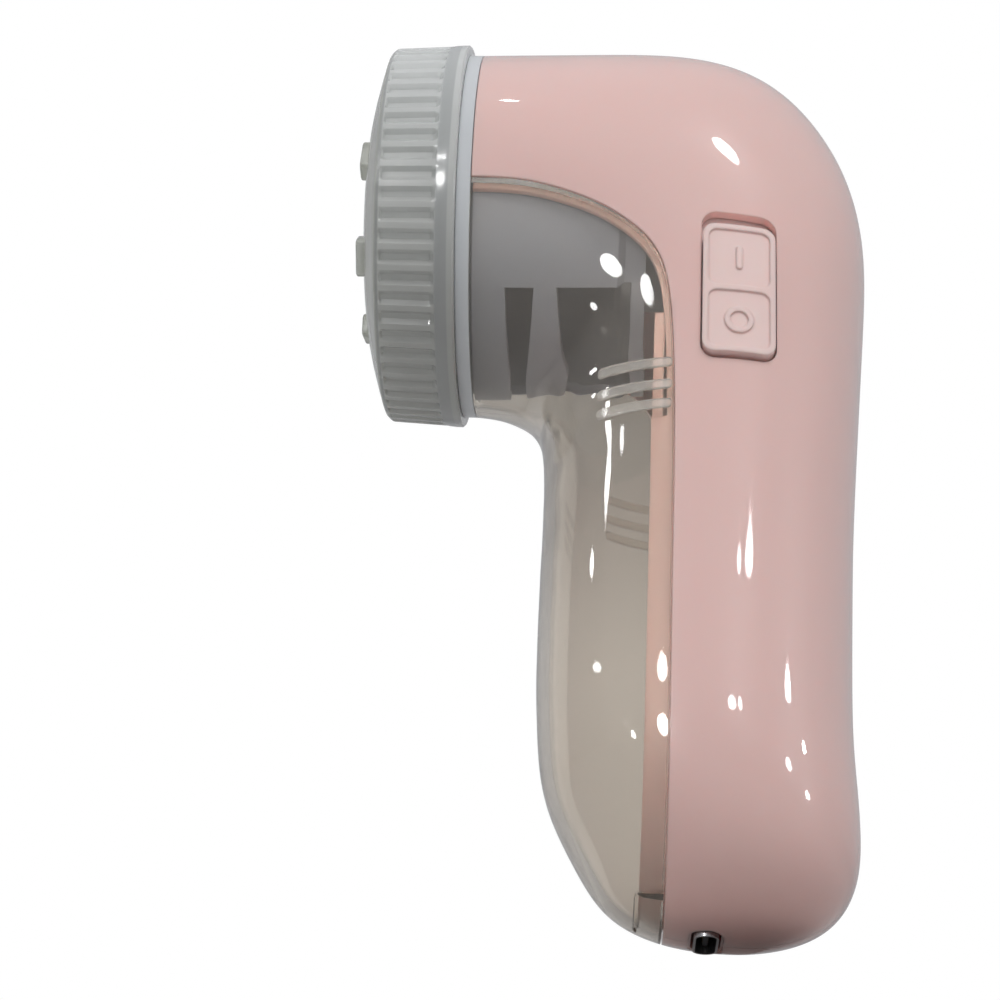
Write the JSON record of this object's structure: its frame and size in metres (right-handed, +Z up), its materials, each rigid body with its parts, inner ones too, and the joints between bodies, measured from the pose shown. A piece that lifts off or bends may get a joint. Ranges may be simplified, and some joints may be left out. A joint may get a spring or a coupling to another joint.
{
  "type": "fabric shaver",
  "caption": "Pistol-shaped rechargeable fabric shaver with a covered round shaving head, clear lint bin along the grip and a sliding power button.",
  "frame": {"origin": "middle of the bottom of the bounding box, under the grip, with the shaving head at the top", "axes": "+Z up along the grip; the shaving head looks along -X; the power button is on the -Y side"},
  "size_m": [0.0748, 0.0576, 0.1372],
  "materials": {
    "pink_gloss": "moulded, high gloss",
    "clear_smoke": "clear lightly smoked plastic",
    "milky_clear": "translucent milky plastic",
    "grey_plastic": "satin grey plastic",
    "ring_grey": "translucent pale grey plastic",
    "steel": "satin stainless steel",
    "zinc_steel": "zinc-plated steel",
    "white_plastic": "white plastic",
    "black_plastic": "black plastic",
    "magnet": "dark ferrite",
    "laminations": "stamped laminations",
    "copper": "enamelled copper wire",
    "brass": "brass",
    "gold": "gold plated contacts",
    "board_green": "solder mask green",
    "cell_wrap": "plastic cell wrap",
    "foam": "closed-cell foam",
    "lead_red": "insulated leads",
    "ceramic_chip": "chip capacitors",
    "light_lens": "diffused lens"
  },
  "bodies": {
    "housing": {"housing_left": "pink_gloss", "housing_right": "pink_gloss", "blade_chamber": "grey_plastic", "motor_can": "zinc_steel", "motor_bushings": "brass", "motor_magnets": "magnet", "motor_end_cap": "white_plastic", "motor_brushes": "brass", "motor_screws": "zinc_steel", "circuit_board": "board_green", "board_screws": "zinc_steel", "port_shell": "steel", "port_tongue": "black_plastic", "port_contacts": "gold", "charge_chip": "black_plastic", "board_inductor": "magnet", "board_capacitors": "ceramic_chip", "charge_light": "light_lens", "switch_body": "zinc_steel", "battery_cell": "cell_wrap", "battery_tabs": "steel", "battery_foam": "foam", "battery_leads": "lead_red", "motor_leads": "lead_red", "housing_screws": "zinc_steel"},
    "blade_rotor": {"motor_shaft": "steel", "drive_coupler": "white_plastic", "blade_holder": "white_plastic", "blades": "steel", "blade_screws": "zinc_steel", "coupler_spring": "steel", "armature_core": "laminations", "armature_coils": "copper", "commutator": "copper"},
    "foil": {"guard_foil": "steel"},
    "ring": {"guard_ring": "ring_grey"},
    "cap": {"protective_cap": "milky_clear"},
    "bin": {"lint_bin": "clear_smoke"},
    "power_slide": {"power_button": "pink_gloss", "switch_lever": "black_plastic"}
  },
  "joints": [
    {"name": "blade_spin", "type": "hinge", "parent": "housing", "child": "blade_rotor", "pos_m": [0.00045, 0, 0.1084], "axis": [1, 0, 0], "continuous": true},
    {"name": "guard_pull", "type": "slide", "parent": "housing", "child": "foil", "axis": [-1, 0, 0], "range_m": [0, 0.015]},
    {"name": "guard_twist", "type": "hinge", "parent": "foil", "child": "ring", "pos_m": [0.00045, 0, 0.1084], "axis": [1, 0, 0], "range_deg": [0, 30]},
    {"name": "cap_pull", "type": "slide", "parent": "foil", "child": "cap", "axis": [-1, 0, 0], "range_m": [0, 0.03]},
    {"name": "bin_pull", "type": "slide", "parent": "housing", "child": "bin", "axis": [0, 0, -1], "range_m": [0, 0.105]},
    {"name": "power_switch", "type": "slide", "parent": "housing", "child": "power_slide", "axis": [0, 0, 1], "range_m": [0, 0.002]}
  ]
}
